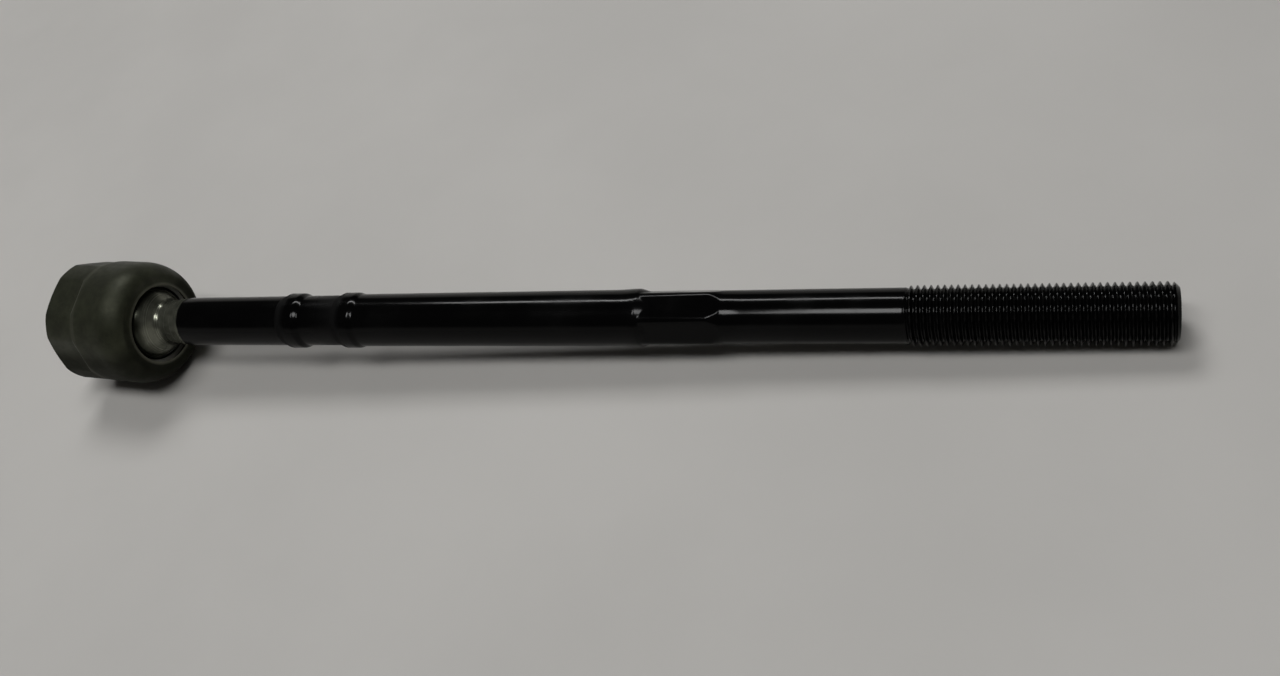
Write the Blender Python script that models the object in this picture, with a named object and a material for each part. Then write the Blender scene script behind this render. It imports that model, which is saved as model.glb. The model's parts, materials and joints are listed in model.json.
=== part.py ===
"""Inner tie rod: a forged rod with its ball, held in a socket housing by the housing's rolled-in edge.

Sizes below are in millimetres, and +Z is up. The part lies as it rests on a table: the housing on its side,
and the rod swung sideways and down in its ball joint until its threaded end touches the table. The
housing's axis is the X axis, and the origin is the middle of the rack stud's end face.
"""
import bmesh
import bpy
from math import acos, asin, cos, degrees, pi, radians, sin, sqrt, tau
from mathutils import Matrix

MM = 0.001

# ball, with lengths along the part measured from its centre
BALL_RADIUS = 12.5

# clearances
JOINT_GAP = 0.3             # between the ball, its seats, the spring and the housing
OVERCUT = 1.0               # how far a cutter stands past what it cuts

# seats
SEAT_WALL = 1.1
SEAT_FRONT_ANGLE = 55.0     # degrees from the axis to the front seat's open edge
REAR_SEAT_BASE = 0.9        # thickness of the rear seat behind the ball
REAR_SEAT_CHAMFER = 1.0
GREASE_HOLE_RADIUS = 4.5

# preload disc spring
SPRING_THICKNESS = 0.8
SPRING_CONE = 0.5
SPRING_OUTER_RADIUS = 11.5
SPRING_INNER_RADIUS = 6.0

# socket housing
HOUSING_WALL = 3.3          # metal round the bore
HOUSING_WEB = 3.2           # metal between the bore's bottom and the rack face
WRENCH_FLAT_DEPTH = 0.9     # how deep a wrench flat is cut into the round body
WRENCH_LENGTH = 11.5
WRENCH_EDGE = 0.4           # length of the slope where a flat runs out to the round body
WRENCH_TURN = 13.0          # degrees from the horizontal up to the first flat's normal, as it lies
RACK_CHAMFER = 2.3          # radial size of the chamfer round the rack face
RACK_CHAMFER_DEPTH = 1.4
CRIMP_START = 0.0           # where the body starts to curve in over the ball
CRIMP_END_ANGLE = 70.0      # how far round its ellipse the rolled shoulder goes, in degrees
NOSE_DROP = 2.4             # how much smaller the flat nose's radius is than the body's
MOUTH_GRIP = 1.5            # how much smaller the mouth's radius is than the ball's
LIP_DEPTH = 0.42            # from the nose's flat face back to the bore's edge
LIP_BEVEL = 0.2

# rod
WAIST_RADIUS = 6.0
WAIST_FILLET = 2.5          # between the ball and the waist
NECK_START = 19.0
NECK_RADIUS = 6.78
RIDGE_RADIUS = 7.5
RIDGE_WIDTH = 7.3
RIDGE_SLOPE = 2.1           # length of each of a ridge's flanks
FIRST_RIDGE = 51.7
SECOND_RIDGE = 69.0
ROD_RADIUS = 7.03
HEXAGON_START = 157.6
HEXAGON_LENGTH = 15.9
HEXAGON_ACROSS_FLATS = 12.8
HEXAGON_TURN = 15.0
HEXAGON_INNER_RUNOUT = 3.0  # length in which a flat runs out to the rod
HEXAGON_OUTER_TAPER = 3.2   # length in which the rod tapers down to the shank
FLAT_OVERRUN = 2.5          # how far the flats run on over that taper
SHANK_RADIUS = 6.5
SHANK_END = 219.5
ROD_LENGTH = 277.0

# threads of the rod's outer end and of the rack stud
THREAD_RADIUS = 7.0
ROOT_RADIUS = 6.08
CORE_RADIUS = 5.8
PITCH = 1.5
CREST_FLAT = 0.19
END_CHAMFER = 1.2
THREAD_RUNOUT = 2.0         # length in which the grooves run out at the shank
STUD_RELIEF = 1.2           # plain length between the rack face and the stud's thread
STUD_LENGTH = 10.0

# pose at rest
SIDE_SWING = 6.0            # degrees the rod is turned sideways in its joint, as it lies

# facets
HOUSING_SEGMENTS = 48
ROD_SEGMENTS = 32
SEAT_SEGMENTS = 24
THREAD_SEGMENTS = 20

# sizes that follow from the ones above
SEAT_INNER_RADIUS = BALL_RADIUS + JOINT_GAP
SEAT_OUTER_RADIUS = SEAT_INNER_RADIUS + SEAT_WALL
BORE_RADIUS = SEAT_OUTER_RADIUS + JOINT_GAP
REAR_SEAT_BACK = -(SEAT_INNER_RADIUS + REAR_SEAT_BASE)
SPRING_FRONT = REAR_SEAT_BACK - JOINT_GAP
SPRING_BACK = SPRING_FRONT - SPRING_THICKNESS - SPRING_CONE
BORE_BOTTOM = SPRING_BACK - JOINT_GAP
RACK_FACE = BORE_BOTTOM - HOUSING_WEB
WRENCH_END = RACK_FACE + WRENCH_LENGTH
STUD_END = RACK_FACE - STUD_LENGTH
HOUSING_RADIUS = BORE_RADIUS + HOUSING_WALL
WRENCH_APOTHEM = HOUSING_RADIUS - WRENCH_FLAT_DEPTH
MOUTH_RADIUS = BALL_RADIUS - MOUTH_GRIP
HEXAGON_END = HEXAGON_START + HEXAGON_LENGTH
REST_HEIGHT = HOUSING_RADIUS * cos(pi / HOUSING_SEGMENTS)
DOWN_SWING = degrees(asin((REST_HEIGHT - THREAD_RADIUS) / (ROD_LENGTH - END_CHAMFER)))


def arc(centre_x, radius_x, centre_r, radius_r, start, end, steps):
    """Points (x, r) on an ellipse, with angles in degrees from the +r direction towards +x."""
    points = []
    for i in range(steps + 1):
        angle = radians(start + (end - start) * i / steps)
        points.append((centre_x + radius_x * sin(angle), centre_r + radius_r * cos(angle)))
    return points


def plain_material(name, colour, roughness, metallic):
    material = bpy.data.materials.new(name)
    material.use_nodes = True
    shader = material.node_tree.nodes["Principled BSDF"]
    shader.inputs["Base Color"].default_value = (*colour, 1.0)
    shader.inputs["Roughness"].default_value = roughness
    shader.inputs["Metallic"].default_value = metallic
    material.diffuse_color = (*colour, 1.0)
    return material


def add_object(name, bm, joint, material=None):
    """Turn a bmesh into a named object, smooth except at its hard edges, carried by a joint's empty."""
    bmesh.ops.recalc_face_normals(bm, faces=bm.faces)
    mesh = bpy.data.meshes.new(name)
    bm.to_mesh(mesh)
    bm.free()
    mesh.shade_smooth()
    mesh.set_sharp_from_angle(angle=radians(30))
    if material:
        mesh.materials.append(material)
    obj = bpy.data.objects.new(name, mesh)
    obj.parent = joint
    bpy.context.scene.collection.objects.link(obj)
    return obj


def hide_tool(obj):
    obj.hide_render = True
    obj.display_type = "WIRE"


def combine(obj, tool, operation):
    """Add a Boolean to an object, and take its tool out of view."""
    modifier = obj.modifiers.new(tool.name, "BOOLEAN")
    modifier.object = tool
    modifier.operation = operation
    modifier.solver = "EXACT"
    hide_tool(tool)


def turned(profile, segments, ring=False):
    """Spin a profile of (x, r) points about the X axis. A ring's profile closes on itself."""
    bm = bmesh.new()
    half_step = pi / segments
    verts = []
    for x, r in profile:
        verts.append(bm.verts.new((x * MM, r * MM * sin(half_step), r * MM * cos(half_step))))
    pairs = list(zip(verts, verts[1:]))
    if ring:
        pairs.append((verts[-1], verts[0]))
    edges = [bm.edges.new(pair) for pair in pairs]
    bmesh.ops.spin(bm, geom=verts + edges, cent=(0, 0, 0), axis=(1, 0, 0), angle=tau,
                   steps=segments, use_merge=True)
    bmesh.ops.remove_doubles(bm, verts=bm.verts, dist=1e-7)
    return bm


def cut_hexagon(obj, joint, start, end, apothem, reach, turn, start_slope, end_slope):
    """Cut six flats. A slope is the length in which a flat's end rises by 1 mm."""
    rise = reach - apothem
    outline = [(start, apothem), (end, apothem), (end + end_slope * rise, reach),
               (start - start_slope * rise, reach)]
    for i in range(6):
        bm = bmesh.new()
        face = bm.faces.new([bm.verts.new((x * MM, -reach * MM, z * MM)) for x, z in outline])
        grown = bmesh.ops.extrude_face_region(bm, geom=[face])["geom"]
        far_side = [v for v in grown if isinstance(v, bmesh.types.BMVert)]
        bmesh.ops.translate(bm, verts=far_side, vec=(0, 2 * reach * MM, 0))
        aim = Matrix.Rotation(radians(90 - turn - 60 * i), 4, "X")
        bmesh.ops.transform(bm, matrix=aim, verts=bm.verts)
        combine(obj, add_object(f"{obj.name}_flat_{i + 1}", bm, joint), "DIFFERENCE")


def helix(start, turns):
    """A closed solid with a helical thread, whose crest rises from the root and falls back in one turn."""
    steps = turns * THREAD_SEGMENTS
    flank = (PITCH - CREST_FLAT) / 2
    bm = bmesh.new()

    def point(k, x, r):
        angle = tau * k / THREAD_SEGMENTS
        return bm.verts.new((x * MM, r * MM * cos(angle), r * MM * sin(angle)))

    # a root line and the crest's two edges wind along the axis
    roots, rises, falls = [], [], []
    for k in range(steps + THREAD_SEGMENTS + 1):
        roots.append(point(k, start + PITCH * k / THREAD_SEGMENTS, ROOT_RADIUS))
    for k in range(steps + 1):
        x = start + PITCH * k / THREAD_SEGMENTS
        height = min(1.0, k / THREAD_SEGMENTS, (steps - k) / THREAD_SEGMENTS)
        crest = ROOT_RADIUS + (THREAD_RADIUS - ROOT_RADIUS) * height
        rises.append(point(k, x + flank, crest))
        falls.append(point(k, x + flank + CREST_FLAT, crest))
    for k in range(steps):
        next_root = k + THREAD_SEGMENTS
        rows = [(roots[k], roots[k + 1]), (rises[k], rises[k + 1]), (falls[k], falls[k + 1]),
                (roots[next_root], roots[next_root + 1])]
        for (a, b), (d, c) in zip(rows, rows[1:]):
            bm.faces.new((a, b, c, d))

    # a plain collar closes each end, and the seam is where the crest's end meets it
    for first, x_end, seam_step in ((0, start - PITCH, THREAD_SEGMENTS - 1),
                                    (steps, start + PITCH * (turns + 2), 0)):
        collar = [point(k, x_end, ROOT_RADIUS) for k in range(THREAD_SEGMENTS)]
        edge = roots[first:first + THREAD_SEGMENTS + 1]
        seam = [edge[0], rises[first], falls[first], edge[-1]]
        for k in range(THREAD_SEGMENTS):
            ahead = collar[(k + 1) % THREAD_SEGMENTS]
            if k != seam_step:
                bm.faces.new([collar[k], ahead, edge[k + 1], edge[k]])
            elif k == 0:
                bm.faces.new([collar[k], ahead, edge[k + 1]] + seam)
            else:
                bm.faces.new([collar[k], ahead] + seam + [edge[k]])
        bm.faces.new(collar)
    bmesh.ops.triangulate(bm, faces=bm.faces)
    return bm


def add_thread(obj, joint, hidden, start, end):
    """Join a thread to an object. It starts inside the object at the hidden place, and ends chamfered."""
    towards = 1 if end > start else -1
    turns = int(abs(end - start) / PITCH) + 4
    thread = add_object(f"{obj.name}_thread", helix(min(start, end) - 2.5 * PITCH, turns), joint)
    beyond = THREAD_RADIUS + OVERCUT
    tip = THREAD_RADIUS - END_CHAMFER
    outline = [(hidden, 0), (hidden, CORE_RADIUS), (start, CORE_RADIUS),
               (start + towards * (beyond - CORE_RADIUS), beyond), (end - towards * (beyond - tip), beyond),
               (end, tip), (end, 0)]
    blank = add_object(f"{obj.name}_thread_blank", turned(outline, ROD_SEGMENTS), joint)
    combine(thread, blank, "INTERSECT")
    combine(obj, thread, "UNION")


def ridge(start, before, after):
    """A rolled ridge round the rod, with rounded flanks."""
    flank_steps = 4
    points = []
    for i in range(flank_steps + 1):
        rise = (1 - cos(pi * i / flank_steps)) / 2
        points.append((start + RIDGE_SLOPE * i / flank_steps, before + (RIDGE_RADIUS - before) * rise))
    for i in range(flank_steps + 1):
        fall = (1 - cos(pi * i / flank_steps)) / 2
        x = start + RIDGE_WIDTH - RIDGE_SLOPE * (1 - i / flank_steps)
        points.append((x, RIDGE_RADIUS - (RIDGE_RADIUS - after) * fall))
    return points


def build_tie_rod(joint):
    fillet_reach = BALL_RADIUS + WAIST_FILLET
    fillet_r = WAIST_RADIUS + WAIST_FILLET
    fillet_x = sqrt(fillet_reach ** 2 - fillet_r ** 2)
    fillet_angle = degrees(asin(fillet_x / fillet_reach))
    profile = arc(0, BALL_RADIUS, 0, BALL_RADIUS, -90, fillet_angle, 14)
    profile += arc(fillet_x, WAIST_FILLET, fillet_r, WAIST_FILLET, 180 + fillet_angle, 180, 4)[1:]
    profile.append((NECK_START, NECK_RADIUS))
    profile += ridge(FIRST_RIDGE, NECK_RADIUS, NECK_RADIUS)
    profile += ridge(SECOND_RIDGE, NECK_RADIUS, ROD_RADIUS)
    profile += [(HEXAGON_END, ROD_RADIUS), (HEXAGON_END + HEXAGON_OUTER_TAPER, SHANK_RADIUS),
                (SHANK_END, SHANK_RADIUS), (SHANK_END + THREAD_RUNOUT, CORE_RADIUS),
                (SHANK_END + THREAD_RUNOUT, 0)]
    black_paint = plain_material("black_paint", (0.012, 0.012, 0.013), 0.3, 0.0)
    rod = add_object("tie_rod", turned(profile, ROD_SEGMENTS), joint, black_paint)
    apothem = HEXAGON_ACROSS_FLATS / 2
    cut_hexagon(rod, joint, HEXAGON_START, HEXAGON_END + FLAT_OVERRUN, apothem, ROD_RADIUS + OVERCUT,
                HEXAGON_TURN, HEXAGON_INNER_RUNOUT / (ROD_RADIUS - apothem), 1)
    thread_start = SHANK_END - (SHANK_RADIUS - CORE_RADIUS)
    add_thread(rod, joint, thread_start - OVERCUT, thread_start, ROD_LENGTH)


def build_socket_housing(joint):
    mouth_x = sqrt(BORE_RADIUS ** 2 - MOUTH_RADIUS ** 2)
    face_radius = HOUSING_RADIUS - RACK_CHAMFER
    nose_x = mouth_x + LIP_DEPTH
    shoulder_x = (nose_x - CRIMP_START) / sin(radians(CRIMP_END_ANGLE))
    shoulder_r = NOSE_DROP / (1 - cos(radians(CRIMP_END_ANGLE)))
    profile = [(RACK_FACE, 0), (RACK_FACE, face_radius),
               (RACK_FACE + RACK_CHAMFER_DEPTH, HOUSING_RADIUS)]
    profile += arc(CRIMP_START, shoulder_x, HOUSING_RADIUS - shoulder_r, shoulder_r, 0, CRIMP_END_ANGLE, 7)
    profile.append((nose_x, MOUTH_RADIUS + LIP_BEVEL))
    cavity_angle = degrees(asin(mouth_x / BORE_RADIUS))
    profile += arc(0, BORE_RADIUS, 0, BORE_RADIUS, cavity_angle, 0, 8)
    profile += [(BORE_BOTTOM, BORE_RADIUS), (BORE_BOTTOM, 0)]
    grey_steel = plain_material("grey_steel", (0.07, 0.07, 0.06), 0.5, 0.6)
    housing = add_object("socket_housing", turned(profile, HOUSING_SEGMENTS), joint, grey_steel)
    cut_hexagon(housing, joint, RACK_FACE - OVERCUT, WRENCH_END - WRENCH_EDGE, WRENCH_APOTHEM,
                HOUSING_RADIUS + OVERCUT, WRENCH_TURN, 0, WRENCH_EDGE / WRENCH_FLAT_DEPTH)
    add_thread(housing, joint, RACK_FACE + HOUSING_WEB / 2, RACK_FACE - STUD_RELIEF, STUD_END)


def build_seats(joint):
    polymer = plain_material("seat_polymer", (0.75, 0.73, 0.66), 0.45, 0.0)
    split = degrees(asin(JOINT_GAP / 2 / SEAT_INNER_RADIUS))
    outer_split = degrees(asin(JOINT_GAP / 2 / SEAT_OUTER_RADIUS))
    front_edge = 90 - SEAT_FRONT_ANGLE
    front = arc(0, SEAT_INNER_RADIUS, 0, SEAT_INNER_RADIUS, split, front_edge, 5)
    front += arc(0, SEAT_OUTER_RADIUS, 0, SEAT_OUTER_RADIUS, front_edge, outer_split, 5)
    add_object("front_ball_seat", turned(front, SEAT_SEGMENTS, ring=True), joint, polymer)

    hole_angle = -degrees(acos(GREASE_HOLE_RADIUS / SEAT_INNER_RADIUS))
    rear = arc(0, SEAT_INNER_RADIUS, 0, SEAT_INNER_RADIUS, hole_angle, -split, 8)
    rear += [(-JOINT_GAP / 2, SEAT_OUTER_RADIUS), (REAR_SEAT_BACK + REAR_SEAT_CHAMFER, SEAT_OUTER_RADIUS),
             (REAR_SEAT_BACK, SEAT_OUTER_RADIUS - REAR_SEAT_CHAMFER), (REAR_SEAT_BACK, GREASE_HOLE_RADIUS)]
    add_object("rear_ball_seat", turned(rear, SEAT_SEGMENTS, ring=True), joint, polymer)


def build_preload_spring(joint):
    spring_steel = plain_material("spring_steel", (0.5, 0.5, 0.5), 0.35, 1.0)
    washer = [(SPRING_BACK, SPRING_OUTER_RADIUS), (SPRING_BACK + SPRING_THICKNESS, SPRING_OUTER_RADIUS),
              (SPRING_FRONT, SPRING_INNER_RADIUS), (SPRING_FRONT - SPRING_THICKNESS, SPRING_INNER_RADIUS)]
    add_object("preload_spring", turned(washer, SEAT_SEGMENTS, ring=True), joint, spring_steel)


def add_joint(name, side_swing, down_swing):
    """An empty at the ball's centre, whose X axis is the axis of what it carries."""
    joint = bpy.data.objects.new(name, None)
    joint.location = (-STUD_END * MM, 0, 0)
    joint.rotation_euler = (0, radians(down_swing), radians(side_swing))
    bpy.context.scene.collection.objects.link(joint)
    return joint


def main():
    for obj in list(bpy.data.objects):
        bpy.data.objects.remove(obj, do_unlink=True)
    socket = add_joint("socket_centre", 0, 0)
    build_socket_housing(socket)
    build_seats(socket)
    build_preload_spring(socket)
    build_tie_rod(add_joint("ball_centre", SIDE_SWING, DOWN_SWING))


main()
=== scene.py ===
import json
from math import asin, atan2, cos, degrees, exp, floor, hypot, pi, radians, sin, sqrt, tau

import bmesh
import bpy
from mathutils import Matrix, Vector


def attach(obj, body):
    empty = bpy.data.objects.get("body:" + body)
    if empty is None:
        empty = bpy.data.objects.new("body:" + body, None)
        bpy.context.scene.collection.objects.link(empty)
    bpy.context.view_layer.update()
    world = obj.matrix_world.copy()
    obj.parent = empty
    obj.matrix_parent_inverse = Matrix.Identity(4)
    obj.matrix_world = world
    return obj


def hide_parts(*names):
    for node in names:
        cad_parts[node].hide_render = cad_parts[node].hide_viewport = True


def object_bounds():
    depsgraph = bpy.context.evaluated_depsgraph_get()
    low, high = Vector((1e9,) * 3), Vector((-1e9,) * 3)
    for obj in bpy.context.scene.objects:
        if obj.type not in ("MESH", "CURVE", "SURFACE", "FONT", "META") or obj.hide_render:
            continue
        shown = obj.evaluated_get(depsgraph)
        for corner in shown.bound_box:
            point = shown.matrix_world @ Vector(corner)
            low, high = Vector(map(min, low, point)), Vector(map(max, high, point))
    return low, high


# Sizes are in millimetres until a piece is put in place, and angles are in degrees.
# Scales, depths and heights in the materials are in metres, as Blender has them.
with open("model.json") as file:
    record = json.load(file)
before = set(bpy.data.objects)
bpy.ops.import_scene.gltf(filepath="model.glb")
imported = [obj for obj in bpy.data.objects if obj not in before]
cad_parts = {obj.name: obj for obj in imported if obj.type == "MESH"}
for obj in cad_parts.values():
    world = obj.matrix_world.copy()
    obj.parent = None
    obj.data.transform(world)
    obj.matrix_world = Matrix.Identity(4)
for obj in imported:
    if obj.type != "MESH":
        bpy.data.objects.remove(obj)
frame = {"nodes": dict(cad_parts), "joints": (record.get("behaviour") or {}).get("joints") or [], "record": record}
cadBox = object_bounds()
millimetre = 0.001
hair = 0.001  # places closer than this, in mm, count as the same
mergeDistance = 1e-7
sharpAngle = 38


def jointCentre():
    for joint in frame["joints"]:
        if joint["name"] == "ball_swing":
            return Vector(joint["pos_m"])


def rodEnd():
    for mount in frame["record"]["mounts"]:
        if mount["name"] == "rod_end":
            return Vector(mount["pos_m"]), Vector(mount["axis"])


ballCentre = jointCentre()
endPoint, rodAxis = rodEnd()
downSwing = asin(-rodAxis.z)
sideSwing = atan2(rodAxis.y, rodAxis.x)
rodPlace = (Matrix.Translation(ballCentre) @ Matrix.Rotation(sideSwing, 4, "Z")
            @ Matrix.Rotation(downSwing, 4, "Y"))
housingPlace = Matrix.Translation(ballCentre)


# shapes: a profile is a list of points (x, radius) along the axis of a turned piece

def smoothStep(value):
    value = min(1.0, max(0.0, value))
    return value * value * (3 - 2 * value)


def softMin(a, b, rounding):
    # the smaller of two, with the corner between them rounded
    overlap = max(rounding - abs(a - b), 0.0) / rounding
    return min(a, b) - overlap * overlap * rounding / 4


def arc(centreX, centreR, radiusX, radiusR, start, end, steps):
    # angles run from the outward direction towards +x
    points = []
    for i in range(steps + 1):
        angle = radians(start + (end - start) * i / steps)
        points.append((centreX + radiusX * sin(angle), centreR + radiusR * cos(angle)))
    return points


def slope(start, end, fromRadius, toRadius, steps=12):
    # an S-shaped rise or fall
    points = []
    for i in range(steps + 1):
        share = i / steps
        rise = (1 - cos(pi * share)) / 2
        points.append((start + (end - start) * share, fromRadius + (toRadius - fromRadius) * rise))
    return points


def extend(points, *stretches):
    # adds straight stretches: where each ends, its radius there and how far apart its rings are
    for endX, endRadius, spacing in stretches:
        x, radius = points[-1]
        count = max(1, round(hypot(endX - x, endRadius - radius) / spacing))
        for i in range(1, count + 1):
            share = i / count
            points.append((x + (endX - x) * share, radius + (endRadius - radius) * share))


def lathe(profile, segments, ring=False):
    bm = bmesh.new()
    verts = [bm.verts.new((x * millimetre, 0, radius * millimetre)) for x, radius in profile]
    pairs = list(zip(verts, verts[1:]))
    if ring:
        pairs.append((verts[-1], verts[0]))
    edges = [bm.edges.new(pair) for pair in pairs]
    bmesh.ops.spin(bm, geom=verts + edges, cent=(0, 0, 0), axis=(1, 0, 0), angle=tau,
                   steps=segments, use_merge=True)
    bmesh.ops.remove_doubles(bm, verts=bm.verts, dist=mergeDistance)
    return bm


def ringOf(vert):
    # where a point's ring is along the axis, and its radius
    return vert.co.x / millimetre, hypot(vert.co.y, vert.co.z) / millimetre


def shape(bm, radiusAt):
    # moves each point in or out: radiusAt gives the radius from x, radius and angle
    for vert in bm.verts:
        x, radius = ringOf(vert)
        if radius > hair:
            factor = radiusAt(x, radius, atan2(vert.co.z, vert.co.y)) / radius
            vert.co.y *= factor
            vert.co.z *= factor


def flatRadius(apothem, angle, turn):
    # distance from the axis to a hexagon's flat, whose turn is counted up from the -y side
    offset = (pi - angle - radians(turn) + pi / 6) % (pi / 3) - pi / 6
    return apothem / cos(offset)


def newObject(name, bm, material):
    mesh = bpy.data.meshes.new(name)
    bm.to_mesh(mesh)
    bm.free()
    mesh.materials.append(material)
    made = bpy.data.objects.new(name, mesh)
    bpy.context.scene.collection.objects.link(made)
    return made


def finishPiece(name, bm, place, material, body, nodes, marks):
    # marks are named numbers, worked out at each point, that the material reads
    bmesh.ops.recalc_face_normals(bm, faces=bm.faces)
    layers = {}
    for key in marks:
        layers[key] = bm.verts.layers.float.new(key)
    for vert in bm.verts:
        x, radius = ringOf(vert)
        for key, measure in marks.items():
            vert[layers[key]] = measure(x, radius)
    bmesh.ops.transform(bm, matrix=place, verts=bm.verts)
    piece = newObject(name, bm, material)
    piece.data.shade_smooth()
    piece.data.set_sharp_from_angle(angle=radians(sharpAngle))
    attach(piece, body)
    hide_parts(*nodes)
    print(f"{name}: {len(piece.data.polygons)} faces")
    return piece


# the thread on the rod's end and on the stud, M14 x 1.5

threadSizes = {
    "pitch": 1.5,
    "crestRadius": 7.0,
    "rootRadius": 6.08,
    "crestFlat": 0.1,
    "rootFlat": 0.14,
    "softness": 0.3,
    "ringSpacing": 0.125,
}


def threadRadius(x, angle):
    thread = threadSizes
    turn = x / thread["pitch"] - angle / tau
    phase = turn - floor(turn)
    flankShare = 1 - thread["rootFlat"] - thread["crestFlat"]
    height = min(1.0, max(0.0, (abs(2 * phase - 1) - thread["rootFlat"]) / flankShare))
    height += (smoothStep(height) - height) * thread["softness"]
    return thread["rootRadius"] + (thread["crestRadius"] - thread["rootRadius"]) * height


# material tools

class Nodes:
    # short ways to add and join shader nodes in one tree

    def __init__(self, tree):
        self.tree = tree

    def add(self, kind, **settings):
        node = self.tree.nodes.new(kind)
        for key, value in settings.items():
            setattr(node, key, value)
        return node

    def join(self, source, target):
        self.tree.links.new(source, target)

    def feed(self, value, target):
        # the value is a number, a colour or another node's output
        if isinstance(value, (int, float)):
            target.default_value = value
        elif isinstance(value, tuple):
            target.default_value = (*value, 1.0)
        else:
            self.join(value, target)

    def mark(self, name):
        # a number that finishPiece stored at each point
        return self.add("ShaderNodeAttribute", attribute_name=name).outputs["Fac"]

    def noise(self, vector, scale, detail=4.0, roughness=0.5):
        node = self.add("ShaderNodeTexNoise")
        self.join(vector, node.inputs["Vector"])
        node.inputs["Scale"].default_value = scale
        node.inputs["Detail"].default_value = detail
        node.inputs["Roughness"].default_value = roughness
        return node.outputs["Fac"]

    def spread(self, value, fromMin, fromMax, toMin=0.0, toMax=1.0):
        # a smooth step from one number to another
        node = self.add("ShaderNodeMapRange", interpolation_type="SMOOTHSTEP")
        self.join(value, node.inputs["Value"])
        ends = {"From Min": fromMin, "From Max": fromMax, "To Min": toMin, "To Max": toMax}
        for key, number in ends.items():
            node.inputs[key].default_value = number
        return node.outputs["Result"]

    def calculate(self, operation, first, second):
        node = self.add("ShaderNodeMath", operation=operation)
        self.feed(first, node.inputs[0])
        self.feed(second, node.inputs[1])
        return node.outputs["Value"]

    def blend(self, factor, first, second):
        # between two colours, which are inputs 6 and 7 and output 2 of the Mix node
        node = self.add("ShaderNodeMix", data_type="RGBA")
        self.join(factor, node.inputs["Factor"])
        self.feed(first, node.inputs[6])
        self.feed(second, node.inputs[7])
        return node.outputs[2]

    def blendNumber(self, factor, first, second):
        # between two numbers, which are inputs 2 and 3 and output 0 of the Mix node
        node = self.add("ShaderNodeMix", data_type="FLOAT")
        self.join(factor, node.inputs["Factor"])
        self.feed(first, node.inputs[2])
        self.feed(second, node.inputs[3])
        return node.outputs[0]

    def bump(self, height, strength, distance):
        node = self.add("ShaderNodeBump")
        node.inputs["Strength"].default_value = strength
        node.inputs["Distance"].default_value = distance
        self.join(height, node.inputs["Height"])
        return node.outputs["Normal"]


def newMaterial(name):
    material = bpy.data.materials.new(name)
    material.use_nodes = True
    tools = Nodes(material.node_tree)
    place = tools.add("ShaderNodeTexCoord").outputs["Object"]
    return material, tools, place, material.node_tree.nodes["Principled BSDF"]


# bare turned steel, with painted shade where the ball comes out of the mouth: a dark ring where the housing's lip
# shades the ball

steelLook = {
    "darkTint": (0.1, 0.103, 0.082),
    "lightTint": (0.17, 0.174, 0.14),
    "metal": 0.7,
    "patchScale": 260.0,
    "patchSpread": (0.35, 0.65),
    # painted shade: the dark colour, its edge along the axis and its wander, for the ring on the ball by the mouth
    "paintedMouthShade": (0.035, 0.037, 0.028),
    "paintedMouthShadeEdge": (8.1, 10.1),
    "paintedMouthShadeWander": 1.2,
    "ringsPerMillimetre": 5.0,
    "ringSpread": (0.3, 0.7),
    "roughness": (0.16, 0.3),
}


def turnedSteelGroup():
    look = steelLook
    group = bpy.data.node_groups.new("turnedSteel", "ShaderNodeTree")
    for label, kind in (("Colour", "NodeSocketColor"), ("Roughness", "NodeSocketFloat"),
                        ("Height", "NodeSocketFloat")):
        group.interface.new_socket(name=label, in_out="OUTPUT", socket_type=kind)
    tools = Nodes(group)
    output = tools.add("NodeGroupOutput")
    along = tools.mark("along")
    # fine rings left by the lathe
    line = tools.add("ShaderNodeCombineXYZ")
    ringPlace = tools.calculate("MULTIPLY", along, look["ringsPerMillimetre"])
    tools.join(ringPlace, line.inputs["X"])
    rings = tools.noise(line.outputs["Vector"], 1.0, detail=3.0)
    roughness = tools.spread(rings, *look["ringSpread"], *look["roughness"])
    # patches of colour, and the painted shade on the ball by the mouth
    place = tools.add("ShaderNodeTexCoord").outputs["Object"]
    patches = tools.noise(place, look["patchScale"], detail=3.0)
    tint = tools.spread(patches, *look["patchSpread"])
    steel = tools.blend(tint, look["darkTint"], look["lightTint"])
    wander = tools.calculate("MULTIPLY", patches, look["paintedMouthShadeWander"])
    unshaded = tools.spread(tools.calculate("ADD", along, wander), *look["paintedMouthShadeEdge"])
    tools.join(tools.blend(unshaded, look["paintedMouthShade"], steel), output.inputs["Colour"])
    tools.join(roughness, output.inputs["Roughness"])
    tools.join(rings, output.inputs["Height"])
    return group


# the rod, measured from the ball's centre

rodSizes = {
    "ballRadius": 12.5,
    "waistRadius": 6.0,
    "waistFillet": 2.5,
    "neckStart": 19.0,
    "neckRadius": 6.78,
    "ridgeStarts": (51.7, 69.0),
    "ridgeMargin": 0.3,
    "ridgeRadius": 7.5,
    "ridgeWidth": 7.3,
    "ridgeSlope": 2.1,
    "rodRadius": 7.03,
    "bulge": 0.21,
    "bulgeAt": 154.3,
    "bulgeWidth": 3.0,
    "bulgeReach": 10.0,
    "closeRings": (-1.0, 4.5),  # the stretch of closely set rings, from bulgeAt
    "shoulderStart": 155.2,
    "shoulderSlope": 0.32,
    "shoulderRound": 0.1,
    "hexagonEnd": 173.5,
    "hexagonApothem": 6.4,
    "hexagonTurn": 15.0,
    "cornerRadius": 7.13,
    "cornerRings": 0.6,
    "outerTaper": 3.2,
    "flatOverrun": 2.2,
    "flatRise": 0.12,
    "edgeRound": 0.07,
    "shankRadius": 6.5,
    "threadStart": 219.2,
    "threadRunout": 1.9,
    "length": (endPoint - ballCentre).length / millimetre,
    "endChamfer": 1.2,
    "endRing": 0.25,
    "segments": 96,
}
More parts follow.
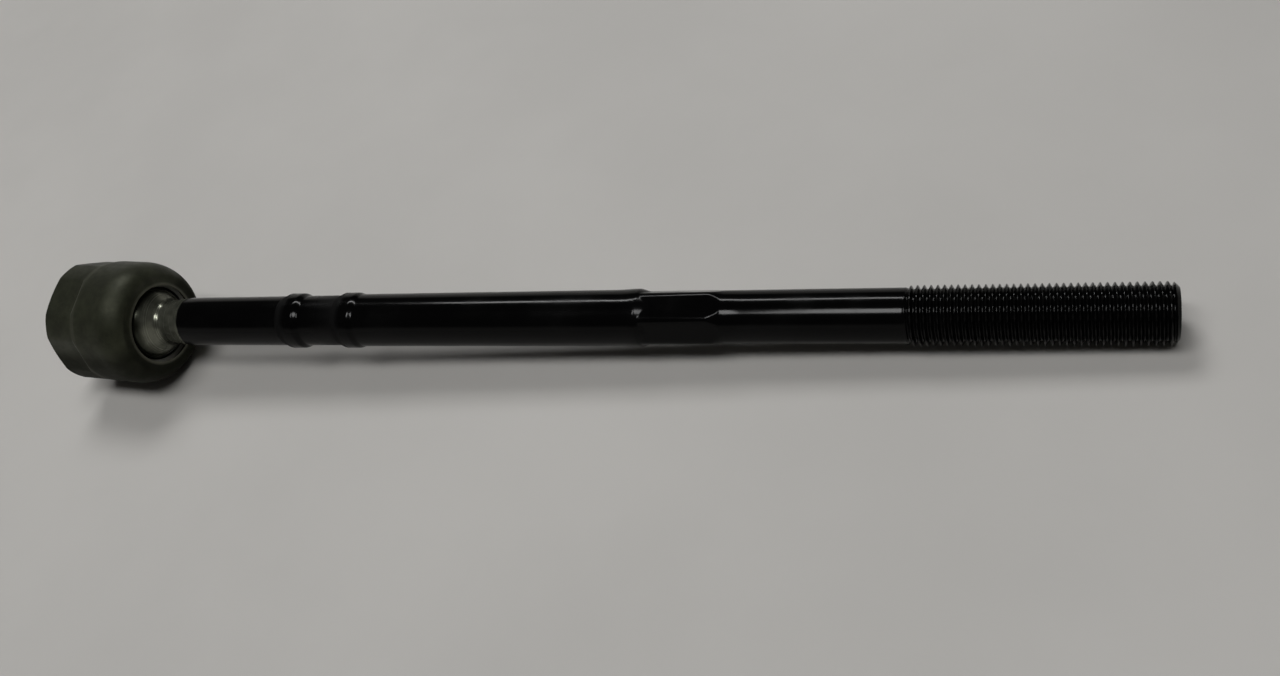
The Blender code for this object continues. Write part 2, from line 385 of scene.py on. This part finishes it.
paintLook = {
    "paint": (0.0016, 0.0016, 0.0017),
    "dustyPaint": (0.0030, 0.0030, 0.0031),
    "dustScale": 75.0,
    "dustSpread": (0.4, 0.75),
    "roughness": (0.13, 0.21),
    "flankRoughness": 0.8,
    "flankReach": 1.1,
    "gloss": 0.1,
    "peelScale": 900.0,
    "peelStrength": 0.015,
    "peelDepth": 0.0002,
    "edgeAt": 18.8,
    "edgeWander": 0.5,
    "edgeScale": 420.0,
    "edgeBlur": 0.12,
}


def ridgeProfile(start, before, after, s):
    end = start + s["ridgeWidth"]
    points = slope(start, start + s["ridgeSlope"], before, s["ridgeRadius"])
    points.append((start + s["ridgeWidth"] / 2, s["ridgeRadius"]))
    return points + slope(end - s["ridgeSlope"], end, s["ridgeRadius"], after)


def ballProfile(s):
    # the ball from its back, and the fillet beside it that ends on the waist
    reach = s["ballRadius"] + s["waistFillet"]
    filletR = s["waistRadius"] + s["waistFillet"]
    filletX = sqrt(reach ** 2 - filletR ** 2)
    filletAngle = degrees(asin(filletX / reach))
    ball = arc(0, 0, s["ballRadius"], s["ballRadius"], -90, filletAngle, steps=44)
    fillet = arc(filletX, filletR, s["waistFillet"], s["waistFillet"], 180 + filletAngle, 180,
                 steps=10)
    return ball + fillet[1:]


def rodProfile(s):
    firstRidge, secondRidge = s["ridgeStarts"]
    closeFrom, closeTo = s["closeRings"]
    end = s["length"]
    points = ballProfile(s)
    extend(points,
           (s["neckStart"], s["neckRadius"], 0.8),
           (firstRidge - s["ridgeMargin"], s["neckRadius"], 5.0))
    points += ridgeProfile(firstRidge, s["neckRadius"], s["neckRadius"], s)
    points += ridgeProfile(secondRidge, s["neckRadius"], s["rodRadius"], s)
    extend(points,
           (s["bulgeAt"] - s["bulgeReach"], s["rodRadius"], 8.0),
           (s["bulgeAt"] + closeFrom, s["rodRadius"], 0.8),
           (s["bulgeAt"] + closeTo, s["rodRadius"], 0.15),
           (s["hexagonEnd"] - s["cornerRings"], s["cornerRadius"], 1.5),
           (s["hexagonEnd"], s["cornerRadius"], 0.2),
           (s["hexagonEnd"] + s["outerTaper"], s["shankRadius"], 0.15),
           (s["threadStart"], s["shankRadius"], 5.0),
           (end - s["endChamfer"], s["shankRadius"], threadSizes["ringSpacing"]),
           (end, s["shankRadius"], 0.1))
    faceRadius = threadSizes["crestRadius"] - s["endChamfer"]
    points[-1] = (end, faceRadius)
    return points + [(end, faceRadius - s["endRing"]), (end, faceRadius / 2), (end, 0)]


def rodRadiusAt(x, radius, angle):
    s = rodSizes
    if x < s["bulgeAt"] - s["bulgeReach"] or x > s["length"] - hair:
        return radius
    if x < s["bulgeAt"]:
        return radius + s["bulge"] * exp(-((x - s["bulgeAt"]) / s["bulgeWidth"]) ** 2)
    if x < s["threadStart"]:
        # a shoulder, round and sloping, ends the rod, and the hexagon's corners run into it
        crest = s["rodRadius"] + s["bulge"]
        sloping = crest - (x - s["shoulderStart"]) * s["shoulderSlope"]
        shoulder = softMin(crest, sloping, s["shoulderRound"])
        overrun = max(0.0, x - s["hexagonEnd"] - s["flatOverrun"])
        flat = flatRadius(s["hexagonApothem"] + s["flatRise"] * overrun, angle, s["hexagonTurn"])
        prism = softMin(radius, flat, s["edgeRound"])
        return -softMin(-shoulder, -prism, s["edgeRound"])
    share = smoothStep((x - s["threadStart"]) / s["threadRunout"])
    cone = threadSizes["crestRadius"] - s["endChamfer"] + s["length"] - x
    return min(s["shankRadius"] + (threadRadius(x, angle) - s["shankRadius"]) * share, cone)


def flankAt(x, radius):
    # 1 on the ridges' first flanks, where the paint lies thick and dull
    middle = rodSizes["ridgeSlope"] / 2
    return max(exp(-((x - start - middle) / paintLook["flankReach"]) ** 4)
               for start in rodSizes["ridgeStarts"])


def paintedRodMaterial():
    look = paintLook
    material, tools, place, shader = newMaterial("blackPaintedSteel")
    steel = tools.add("ShaderNodeGroup", node_tree=turnedSteelGroup())
    # the paint begins on the neck, at a slightly uneven edge
    unevenness = tools.noise(place, look["edgeScale"], detail=2.0)
    wander = tools.calculate("MULTIPLY", unevenness, look["edgeWander"])
    edge = tools.calculate("ADD", tools.mark("along"), wander)
    middle = look["edgeAt"] + look["edgeWander"] / 2
    painted = tools.spread(edge, middle - look["edgeBlur"], middle + look["edgeBlur"])
    bare = tools.calculate("SUBTRACT", 1.0, painted)
    dustiness = tools.noise(place, look["dustScale"], detail=6.0, roughness=0.6)
    dust = tools.spread(dustiness, *look["dustSpread"])
    paint = tools.blend(dust, look["paint"], look["dustyPaint"])
    evenRoughness = tools.spread(dust, 0.0, 1.0, *look["roughness"])
    paintRoughness = tools.blendNumber(tools.mark("flank"), evenRoughness, look["flankRoughness"])
    peel = tools.noise(place, look["peelScale"], detail=2.0)
    colour = tools.blend(painted, steel.outputs["Colour"], paint)
    roughness = tools.blendNumber(painted, steel.outputs["Roughness"], paintRoughness)
    height = tools.blendNumber(painted, steel.outputs["Height"], peel)
    tools.join(colour, shader.inputs["Base Color"])
    tools.join(roughness, shader.inputs["Roughness"])
    tools.join(tools.calculate("MULTIPLY", bare, steelLook["metal"]), shader.inputs["Metallic"])
    tools.join(tools.bump(height, look["peelStrength"], look["peelDepth"]), shader.inputs["Normal"])
    shader.inputs["Specular IOR Level"].default_value = look["gloss"]
    return material


def buildRod():
    bm = lathe(rodProfile(rodSizes), rodSizes["segments"])
    shape(bm, rodRadiusAt)
    return finishPiece("swivelling_rod", bm, rodPlace, paintedRodMaterial(), "rod", ["tie_rod"],
                       {"along": lambda x, radius: x, "flank": flankAt})


# the socket housing, measured from the ball's centre

housingSizes = {
    "radius": 17.5,
    "studEnd": -28.8,
    "studRadius": 6.5,
    "studChamfer": 1.2,
    "studRunout": 1.2,
    "studRelief": 1.2,
    "coreRadius": 5.8,
    "reliefStep": 0.15,
    "reliefRound": 0.3,
    "reliefBend": 0.08,
    "rackFace": -18.8,
    "rackChamfer": 2.3,
    "rackChamferDepth": 1.4,
    "chamferRings": 1.0,
    "wrenchEnd": -6.3,
    "wrenchEdge": 1.4,
    "wrenchApothem": 16.6,
    "wrenchTurn": 13.0,
    "wrenchFade": 0.3,
    "flatRound": 0.1,
    "runoutMargin": 0.2,
    "crimpStart": 2.0,
    "crimpEndAngle": 70.0,
    "noseDrop": 3.35,
    "outerCorner": ((-0.06, 0.02), (0.0, -0.12), (-0.02, -0.5)),  # offsets from a sharp corner
    "dishDepth": 0.14,
    "innerCorner": ((-0.02, 0.25), (0.0, 0.1), (-0.05, 0.0)),
    "lipDepth": 0.22,
    "lipBevel": 0.2,
    "mouthRadius": 11.0,
    "mouthEdge": (0.12, 0.02),
    "boreRadius": 14.2,
    "boreBottom": -15.6,
    "outsideFrom": 15.1,  # rings wider than this are on the outside
    "segments": 192,
}
housingLook = {
    "darkCoat": (0.010, 0.011, 0.0071),
    "lightCoat": (0.032, 0.0346, 0.022),
    "mottleScale": 260.0,
    "mottleShare": 0.6,
    "cloudScale": 78.0,
    "patchSpread": (0.3, 0.7),
    "roughness": (0.5, 0.39),
    "gloss": 0.25,
    "glossTint": (0.97, 1.0, 0.74),
    "wearAndSheen": (0.15, 0.15, 0.12),
    "wearAndSheenMetal": 0.5,
    "wearAndSheenRoughness": 0.3,
    "wearAndSheenPatches": (0.75, 1.0),
    "mouthWearFrom": 9.0,
    "mouthWearReach": 0.4,
    # the band where the flats end carries a faint painted highlight, not wear
    "bandSheen": 0.2,
    "bandReach": 0.75,
    # painted shade on the underside: the heights where it begins and is full, how dark it gets, and the roughness
    # it adds
    "undersideShadeFrom": 0.008,
    "undersideShadeTo": 0.001,
    "undersideShade": 0.25,
    "undersideShadeRoughness": 0.3,
    "grainScale": 2600.0,
    "grainStrength": 0.16,
    "grainDepth": 0.0001,
}


def studProfile(s):
    # from the stud's end over the thread and the relief groove to the rack face
    tip, core, rackFace = s["studEnd"], s["coreRadius"], s["rackFace"]
    reliefStart = rackFace - s["studRelief"]
    points = [(tip, 0), (tip, core / 2), (tip, core)]
    extend(points,
           (tip + s["studChamfer"], s["studRadius"], threadSizes["ringSpacing"]),
           (reliefStart, s["studRadius"], threadSizes["ringSpacing"]))
    return points + [(reliefStart + s["reliefStep"], core), (rackFace - s["reliefRound"], core),
                     (rackFace - s["reliefBend"], core + s["reliefBend"]),
                     (rackFace, core + s["reliefRound"])]


def noseProfile(s, mouthX):
    # the shoulder rolled in over the ball, and the flat nose, which the rolling tool leaves
    # faintly dished between two soft corners
    noseX = mouthX + s["lipDepth"]
    noseR = s["radius"] - s["noseDrop"]
    lipR = s["mouthRadius"] + s["lipBevel"]
    endAngle = s["crimpEndAngle"]
    lengthX = (noseX - s["crimpStart"]) / sin(radians(endAngle))
    dropR = s["noseDrop"] / (1 - cos(radians(endAngle)))
    crimp = arc(s["crimpStart"], s["radius"] - dropR, lengthX, dropR, 0, endAngle, steps=30)
    points = crimp[1:-1] + [(noseX + x, noseR + r) for x, r in s["outerCorner"]]
    innerCorner = [(noseX + x, lipR + r) for x, r in s["innerCorner"]]
    extend(points,
           (noseX - s["dishDepth"], (noseR + lipR) / 2, 0.5),
           (*innerCorner[0], 0.5))
    edgeX, edgeR = s["mouthEdge"]
    return points + innerCorner[1:] + [(mouthX + edgeX, s["mouthRadius"] + edgeR)]


def housingProfile(s):
    mouthX = sqrt(s["boreRadius"] ** 2 - s["mouthRadius"] ** 2)
    chamferEnd = s["rackFace"] + s["rackChamferDepth"]
    flatEnd = s["wrenchEnd"] - s["wrenchEdge"]
    points = studProfile(s)
    extend(points,
           (s["rackFace"], s["radius"] - s["rackChamfer"], 1.0),
           (chamferEnd, s["radius"], 0.18),
           (chamferEnd + s["chamferRings"], s["radius"], 0.25),
           (flatEnd - s["runoutMargin"], s["radius"], 1.2),
           (s["wrenchEnd"] + s["runoutMargin"], s["radius"], 0.1),
           (s["crimpStart"], s["radius"], 0.8))
    points += noseProfile(s, mouthX)
    cavityAngle = degrees(asin(mouthX / s["boreRadius"]))
    points += arc(0, 0, s["boreRadius"], s["boreRadius"], cavityAngle, 0, steps=14)
    extend(points, (s["boreBottom"], s["boreRadius"], 4.0))
    return points + [(s["boreBottom"], 0)]


def housingRadiusAt(x, radius, angle):
    s = housingSizes
    reliefStart = s["rackFace"] - s["studRelief"]
    if s["rackFace"] - hair < x < s["wrenchEnd"] + s["wrenchFade"] and radius > s["outsideFrom"]:
        # the flats run out into the round body
        rise = max(0.0, x - s["wrenchEnd"] + s["wrenchEdge"]) / s["wrenchEdge"]
        apothem = s["wrenchApothem"] + (s["radius"] - s["wrenchApothem"]) * rise
        return softMin(radius, flatRadius(apothem, angle, s["wrenchTurn"]), s["flatRound"])
    if s["studEnd"] + hair < x < reliefStart + hair:
        share = smoothStep((reliefStart - x) / s["studRunout"])
        cone = s["coreRadius"] + x - s["studEnd"]
        return min(s["coreRadius"] + (threadRadius(x, angle) - s["coreRadius"]) * share, cone)
    return radius


def wearAndSheenAt(x, radius):
    # the mouth's edge is rubbed bright, and a band where the flats end gets a faint painted highlight where its
    # slope catches the light
    s, look = housingSizes, housingLook
    mouth = band = 0.0
    if x > look["mouthWearFrom"]:
        mouth = exp(-((radius - s["mouthRadius"] - s["lipBevel"]) / look["mouthWearReach"]) ** 2)
    if radius > s["outsideFrom"]:
        bandAt = s["wrenchEnd"] - s["wrenchEdge"] / 2
        band = exp(-((x - bandAt) / look["bandReach"]) ** 4)
    return max(mouth, look["bandSheen"] * band)


def housingMaterial():
    look = housingLook
    material, tools, place, shader = newMaterial("phosphatedSteel")
    mottle = tools.noise(place, look["mottleScale"], detail=7.0, roughness=0.65)
    mottle = tools.spread(mottle, *look["patchSpread"])
    clouds = tools.noise(place, look["cloudScale"], detail=3.0)
    clouds = tools.spread(clouds, *look["patchSpread"])
    tone = tools.calculate("ADD", tools.calculate("MULTIPLY", mottle, look["mottleShare"]),
                           tools.calculate("MULTIPLY", clouds, 1 - look["mottleShare"]))
    coat = tools.blend(tone, look["darkCoat"], look["lightCoat"])
    coatRoughness = tools.spread(tone, 0.0, 1.0, *look["roughness"])
    # painted shade: the coat is darkened, and made rougher, towards the underside, where less light reaches it
    height = tools.add("ShaderNodeSeparateXYZ")
    tools.join(place, height.inputs["Vector"])
    unshadedShare = tools.spread(height.outputs["Z"], look["undersideShadeTo"], look["undersideShadeFrom"], look["undersideShade"], 1.0)
    shaded = tools.add("ShaderNodeVectorMath", operation="SCALE")
    tools.join(coat, shaded.inputs["Vector"])
    tools.join(unshadedShare, shaded.inputs["Scale"])
    undersideRoughness = tools.spread(unshadedShare, look["undersideShade"], 1.0, look["undersideShadeRoughness"], 0.0)
    coatRoughness = tools.calculate("ADD", coatRoughness, undersideRoughness)
    # where the coat is rubbed off at the mouth, bare steel shows; on the band where the flats end, the same bare
    # look is a painted highlight
    patches = tools.spread(mottle, 0.0, 1.0, *look["wearAndSheenPatches"])
    rubbed = tools.calculate("MULTIPLY", tools.mark("wearAndSheen"), patches)
    colour = tools.blend(rubbed, shaded.outputs["Vector"], look["wearAndSheen"])
    roughness = tools.blendNumber(rubbed, coatRoughness, look["wearAndSheenRoughness"])
    grain = tools.noise(place, look["grainScale"], detail=3.0)
    normal = tools.bump(grain, look["grainStrength"], look["grainDepth"])
    tools.join(colour, shader.inputs["Base Color"])
    tools.join(roughness, shader.inputs["Roughness"])
    tools.join(tools.calculate("MULTIPLY", rubbed, look["wearAndSheenMetal"]), shader.inputs["Metallic"])
    tools.join(normal, shader.inputs["Normal"])
    shader.inputs["Specular IOR Level"].default_value = look["gloss"]
    shader.inputs["Specular Tint"].default_value = (*look["glossTint"], 1.0)
    return material


def buildHousing():
    bm = lathe(housingProfile(housingSizes), housingSizes["segments"])
    shape(bm, housingRadiusAt)
    return finishPiece("rolled_housing", bm, housingPlace, housingMaterial(), "housing",
                       ["socket_housing"], {"wearAndSheen": wearAndSheenAt})


# the seats and the spring: the rear seat and the spring keep their CAD shape

seatSizes = {
    "innerRadius": 12.8,
    "outerRadius": 13.9,
    "frontAngle": 35.0,
    "rimAngle": 0.8,
    "rimShift": (0.1, 0.02),
    "rimCorners": ((-0.57, -0.8), (0.57, 0.7)),  # in shares of half the wall
    "splitHalf": 0.15,
    "segments": 96,
}
seatLook = {
    "polymer": (0.17, 0.17, 0.145),
    "shadeOfPolymer": (0.10, 0.10, 0.085),
    "filmScale": 180.0,
    "filmSpread": (0.35, 0.7),
    "roughness": (0.32, 0.47),
    "grainScale": 1500.0,
    "grainStrength": 0.08,
    "grainDepth": 0.0001,
}
springLook = {
    "darkSteel": (0.28, 0.28, 0.29),
    "lightSteel": (0.46, 0.46, 0.46),
    "markScale": 300.0,
    "tintSpread": (0.35, 0.65),
    "roughnessSpread": (0.3, 0.7),
    "roughness": (0.27, 0.45),
}


def polymerMaterial():
    look = seatLook
    material, tools, place, shader = newMaterial("greasedPolymer")
    film = tools.spread(tools.noise(place, look["filmScale"]), *look["filmSpread"])
    colour = tools.blend(film, look["shadeOfPolymer"], look["polymer"])
    grain = tools.noise(place, look["grainScale"], detail=2.0)
    normal = tools.bump(grain, look["grainStrength"], look["grainDepth"])
    tools.join(colour, shader.inputs["Base Color"])
    tools.join(tools.spread(film, 0.0, 1.0, *look["roughness"]), shader.inputs["Roughness"])
    tools.join(normal, shader.inputs["Normal"])
    return material


def springMaterial():
    look = springLook
    material, tools, place, shader = newMaterial("springSteel")
    marks = tools.noise(place, look["markScale"], detail=5.0)
    tint = tools.spread(marks, *look["tintSpread"])
    roughness = tools.spread(marks, *look["roughnessSpread"], *look["roughness"])
    colour = tools.blend(tint, look["darkSteel"], look["lightSteel"])
    tools.join(colour, shader.inputs["Base Color"])
    tools.join(roughness, shader.inputs["Roughness"])
    shader.inputs["Metallic"].default_value = 1.0
    return material


def seatProfile(s):
    # a closed ring around the front of the ball, from the split to its rim
    inner, outer = s["innerRadius"], s["outerRadius"]
    split = degrees(asin(s["splitHalf"] / inner))
    end = s["frontAngle"] - s["rimAngle"]
    half = (outer - inner) / 2
    middle = inner + half
    shiftX, shiftR = s["rimShift"]
    rimX = middle * sin(radians(s["frontAngle"])) + shiftX
    rimR = middle * cos(radians(s["frontAngle"])) + shiftR
    rim = [(rimX + half * x, rimR + half * r) for x, r in s["rimCorners"]]
    inside = arc(0, 0, inner, inner, split, end, steps=12)
    outside = arc(0, 0, outer, outer, end, split, steps=12)
    return inside + rim + outside


def buildSeats():
    polymer = polymerMaterial()
    bm = lathe(seatProfile(seatSizes), seatSizes["segments"], ring=True)
    finishPiece("front_seat_ring", bm, housingPlace, polymer, "seats", ["front_ball_seat"],
                {})
    for node, material in (("rear_ball_seat", polymer), ("preload_spring", springMaterial())):
        for materialSlot in frame["nodes"][node].material_slots:
            materialSlot.material = material


# the studio: distances on the table are in metres

studio = {
    "table": (0.625, 0.610, 0.583),
    "tableDark": (0.585, 0.571, 0.546),
    "tableCentre": 0.15,
    "tableReach": 2.2,
    "tableRoughness": 0.7,
    "tableGloss": 0.2,
    "smudgeScale": 9.0,
    "smudgeSpread": (0.3, 0.7),
    "fadeFrom": 0.45,
    "fadeTo": 1.1,
    "roomTint": (1.0, 0.975, 0.925),
    "room": 0.03,
    "backdrop": 0.4,
    "paleUpTo": 0.14,
    "darkFrom": 0.36,
    "cameraAt": (308.84, -152.37, 205.66),
    "cameraTurn": (41.127, 17.305, 18.65),
    "lens": 33.86,
    "sensorWidth": 36.0,
    "nearestSeen": 0.01,
}
# each lamp: where it stands and what it faces in mm, its size in mm, its power in watts and its use
# a highlight lamp shows only in glossy surfaces, and not in the housing
# a broad lamp lights all but the rod, and a fill lamp softly lights the rod alone
lamps = {
    "longWindow": ((-185, 903, 1198), (120, 0, 0), (1060, 105), 9.0, "highlight"),
    "roofLight": ((105, -488, 1418), (200, 0, 0), (250, 400), 6.0, "highlight"),
    "roofGlow": ((690, -330, 1400), (200, 0, 0), (330, 420), 7.0, "highlight"),
    "highPanel": ((110, -410, 1450), (150, 0, 0), (1300, 400), 10.0, "broad"),
    "backWindow": ((-280, 690, 1260), (150, 0, 0), (560, 540), 6.7, "broad"),
    "softFill": ((110, -410, 1450), (150, 0, 0), (1300, 400), 14.0, "fill"),
}


def seenRays(tools):
    # what the camera, a shiny surface or glass looks at, as against plain light
    rays = tools.add("ShaderNodeLightPath").outputs
    direct = tools.calculate("MAXIMUM", rays["Is Camera Ray"], rays["Is Glossy Ray"])
    return tools.calculate("MAXIMUM", direct, rays["Is Transmission Ray"])


def tableMaterial():
    material, tools, place, shader = newMaterial("tableTop")
    smudges = tools.noise(place, studio["smudgeScale"], detail=5.0, roughness=0.55)
    smudge = tools.spread(smudges, *studio["smudgeSpread"])
    colour = tools.blend(smudge, studio["tableDark"], studio["table"])
    tools.join(colour, shader.inputs["Base Color"])
    shader.inputs["Roughness"].default_value = studio["tableRoughness"]
    shader.inputs["Specular IOR Level"].default_value = studio["tableGloss"]
    # well away from the part the table is seen to fade into the pale room
    reach = tools.add("ShaderNodeVectorMath", operation="LENGTH")
    tools.join(place, reach.inputs["Vector"])
    fade = tools.spread(reach.outputs["Value"], studio["fadeFrom"], studio["fadeTo"])
    glow = tools.add("ShaderNodeEmission")
    glow.inputs["Color"].default_value = (*studio["roomTint"], 1.0)
    glow.inputs["Strength"].default_value = studio["backdrop"]
    mix = tools.add("ShaderNodeMixShader")
    tools.join(tools.calculate("MULTIPLY", fade, seenRays(tools)), mix.inputs["Fac"])
    tools.join(shader.outputs["BSDF"], mix.inputs[1])
    tools.join(glow.outputs["Emission"], mix.inputs[2])
    surface = material.node_tree.nodes["Material Output"].inputs["Surface"]
    tools.join(mix.outputs["Shader"], surface)
    return material


def buildTable():
    bm = bmesh.new()
    bmesh.ops.create_grid(bm, x_segments=24, y_segments=24, size=studio["tableReach"])
    centre = Matrix.Translation((studio["tableCentre"], 0, cadBox[0].z))
    bmesh.ops.transform(bm, matrix=centre, verts=bm.verts)
    table = newObject("table", bm, tableMaterial())


def buildLamps(rod, housing):
    for name, (at, aim, size, power, use) in lamps.items():
        light = bpy.data.lights.new(name, "AREA")
        light.shape = "RECTANGLE"
        light.size = size[0] * millimetre
        light.size_y = size[1] * millimetre
        light.energy = power
        lamp = bpy.data.objects.new(name, light)
        lamp.location = Vector(at) * millimetre
        lamp.rotation_euler = (Vector(at) - Vector(aim)).to_track_quat("Z", "Y").to_euler()
        lamp.visible_diffuse = use != "highlight"
        lamp.visible_glossy = use != "fill"
        bpy.context.scene.collection.objects.link(lamp)
        linked = bpy.data.collections.new(name + "_linked")
        linked.objects.link(housing if use == "highlight" else rod)
        lamp.light_linking.receiver_collection = linked
        linkState = "INCLUDE" if use == "fill" else "EXCLUDE"
        linked.collection_objects[0].light_linking.link_state = linkState


def buildRoom():
    # the room is pale round the horizon and dark above, and gives next to no light itself
    world = bpy.data.worlds.new("room")
    world.use_nodes = True
    tools = Nodes(world.node_tree)
    heading = tools.add("ShaderNodeSeparateXYZ")
    tools.join(tools.add("ShaderNodeTexCoord").outputs["Generated"], heading.inputs["Vector"])
    horizon = tools.spread(heading.outputs["Z"], studio["paleUpTo"], studio["darkFrom"],
                           studio["backdrop"], studio["room"])
    strength = tools.blendNumber(seenRays(tools), studio["room"], horizon)
    background = world.node_tree.nodes["Background"]
    background.inputs["Color"].default_value = (*studio["roomTint"], 1.0)
    tools.join(strength, background.inputs["Strength"])
    bpy.context.scene.world = world


def buildCamera():
    view = bpy.data.cameras.new("camera")
    view.lens = studio["lens"]
    view.sensor_width = studio["sensorWidth"]
    view.clip_start = studio["nearestSeen"]
    camera = bpy.data.objects.new("camera", view)
    camera.location = Vector(studio["cameraAt"]) * millimetre
    camera.rotation_euler = tuple(radians(turn) for turn in studio["cameraTurn"])
    bpy.context.scene.collection.objects.link(camera)
    bpy.context.scene.camera = camera
    bpy.context.scene.view_settings.view_transform = "Standard"


rodPiece = buildRod()
housingPiece = buildHousing()
buildSeats()
print("pieces built")
buildTable()
buildLamps(rodPiece, housingPiece)
buildRoom()
buildCamera()
print("studio set")
